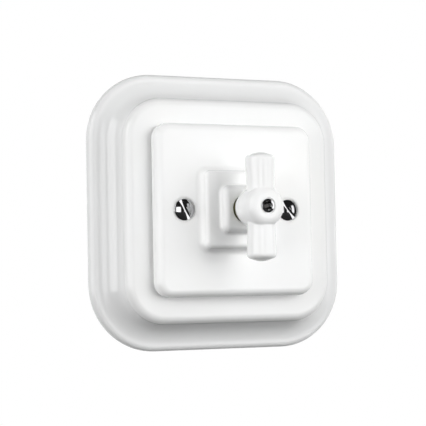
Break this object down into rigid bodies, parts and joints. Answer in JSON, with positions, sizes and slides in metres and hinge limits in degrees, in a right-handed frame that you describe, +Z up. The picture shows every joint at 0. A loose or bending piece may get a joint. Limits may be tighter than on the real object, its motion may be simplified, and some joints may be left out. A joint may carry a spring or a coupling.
{
  "type": "porcelain rotary switch",
  "caption": "Flush rotary light switch: square white porcelain surround and cover, turned bar knob on a brass bush, snap mechanism with clamps and claws behind.",
  "frame": {"origin": "middle of the two box screw slots, on the wall face at the strap's back", "axes": "+Z up, -Y out of the wall towards the user, X across"},
  "size_m": [0.1, 0.0736, 0.1],
  "materials": {
    "porcelain": "white glossy glaze",
    "bright_chrome": "polished chrome plate",
    "brass": "turned, plain",
    "plated_steel": "zinc plated, pressed",
    "spring_steel": "blued, smooth",
    "steatite": "fired, unglazed",
    "moulded_black": "thermoset moulding, satin",
    "moulded_ivory": "thermoset moulding"
  },
  "bodies": {
    "switch_body": {"surround_frame": "porcelain", "cover_plate": "porcelain", "cover_screw_left": "bright_chrome", "cover_screw_right": "bright_chrome", "spindle_bush": "brass", "bush_nut": "brass", "support_strap": "plated_steel", "cover_pillar_left": "brass", "cover_pillar_right": "brass", "front_housing": "moulded_black", "contact_base": "steatite", "detent_spring_upper": "spring_steel", "detent_spring_lower": "spring_steel", "assembly_screw_upper": "plated_steel", "assembly_screw_lower": "plated_steel", "claw_screw_left": "plated_steel", "claw_screw_right": "plated_steel", "claw_nut_left": "plated_steel", "claw_nut_right": "plated_steel", "fixed_contact_1": "brass", "terminal_clamp_1": "brass", "terminal_screw_1": "plated_steel", "fixed_contact_2": "brass", "terminal_clamp_2": "brass", "terminal_screw_2": "plated_steel", "fixed_contact_3": "brass", "terminal_clamp_3": "brass", "terminal_screw_3": "plated_steel", "fixed_contact_4": "brass", "terminal_clamp_4": "brass", "terminal_screw_4": "plated_steel"},
    "knob_assembly": {"knob": "porcelain", "knob_screw": "bright_chrome", "spindle": "plated_steel", "index_cam": "moulded_ivory", "rotor": "moulded_ivory", "contact_bridge": "brass", "spindle_clip": "spring_steel"},
    "claw_left": {"claw_left": "plated_steel"},
    "claw_right": {"claw_right": "plated_steel"}
  },
  "joints": [
    {"name": "knob_turn", "type": "hinge", "parent": "switch_body", "child": "knob_assembly", "pos_m": [0, 0, 0], "axis": [0, -1, 0], "continuous": true, "deforming": ["detent_spring_upper", "detent_spring_lower"]},
    {"name": "claw_right_swing", "type": "hinge", "parent": "switch_body", "child": "claw_right", "pos_m": [0.0234, 0.0009, 0], "axis": [0, 0, -1], "range_deg": [0, 12]},
    {"name": "claw_left_swing", "type": "hinge", "parent": "switch_body", "child": "claw_left", "pos_m": [-0.0234, 0.0009, 0], "axis": [0, 0, 1], "range_deg": [0, 12]}
  ]
}
